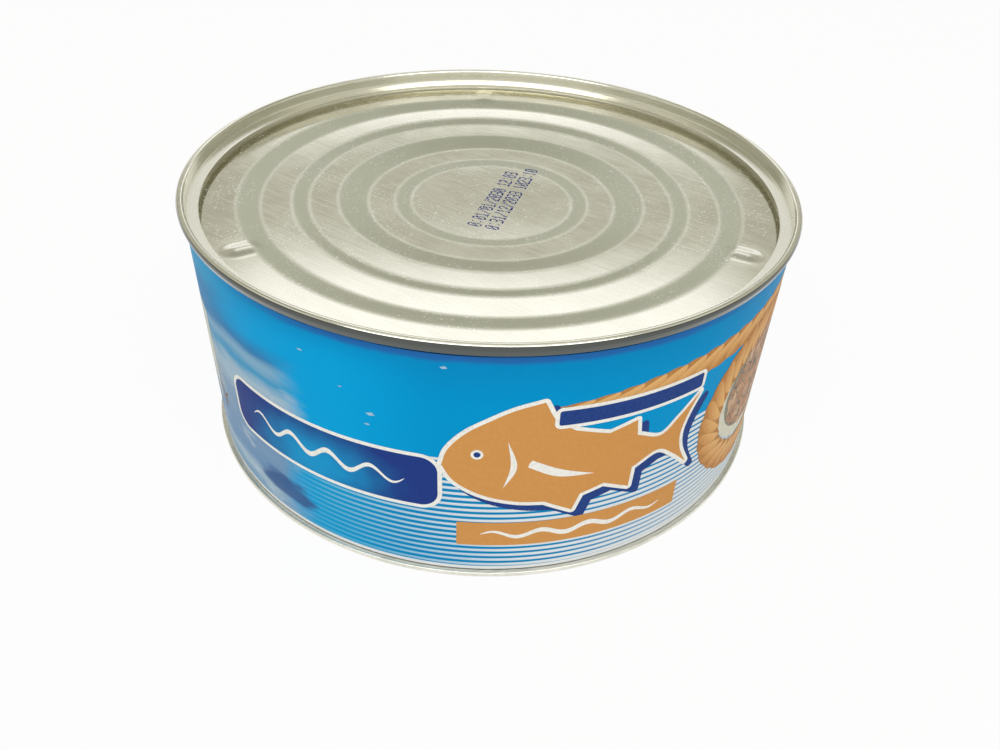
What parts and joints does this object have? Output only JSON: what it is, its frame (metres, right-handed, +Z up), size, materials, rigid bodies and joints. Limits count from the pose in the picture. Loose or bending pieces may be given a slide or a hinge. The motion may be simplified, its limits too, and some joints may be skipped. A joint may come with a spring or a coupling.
{
  "type": "tuna can",
  "caption": "Wide, low, round food can with a double-seamed lid, stepped rings on both ends, a narrow foot rim and a paper label round the wall.",
  "frame": {"origin": "centre of the circle that the can stands on, at the lowest point of its foot rim", "axes": "+Z up along the can's axis; -Y is the front of the label; +X is to the right as the front is looked at"},
  "size_m": [0.157, 0.157, 0.0677],
  "materials": {
    "tinplate_wall": "bright rolled tinplate",
    "tinplate_end": "matt tinplate with fine rolling lines and specks of dust",
    "label_paper": "printed coated paper, semi-gloss"
  },
  "bodies": {
    "root": {"can_body": "tinplate_wall", "lid": "tinplate_end", "base": "tinplate_end", "label": "label_paper"}
  },
  "joints": []
}
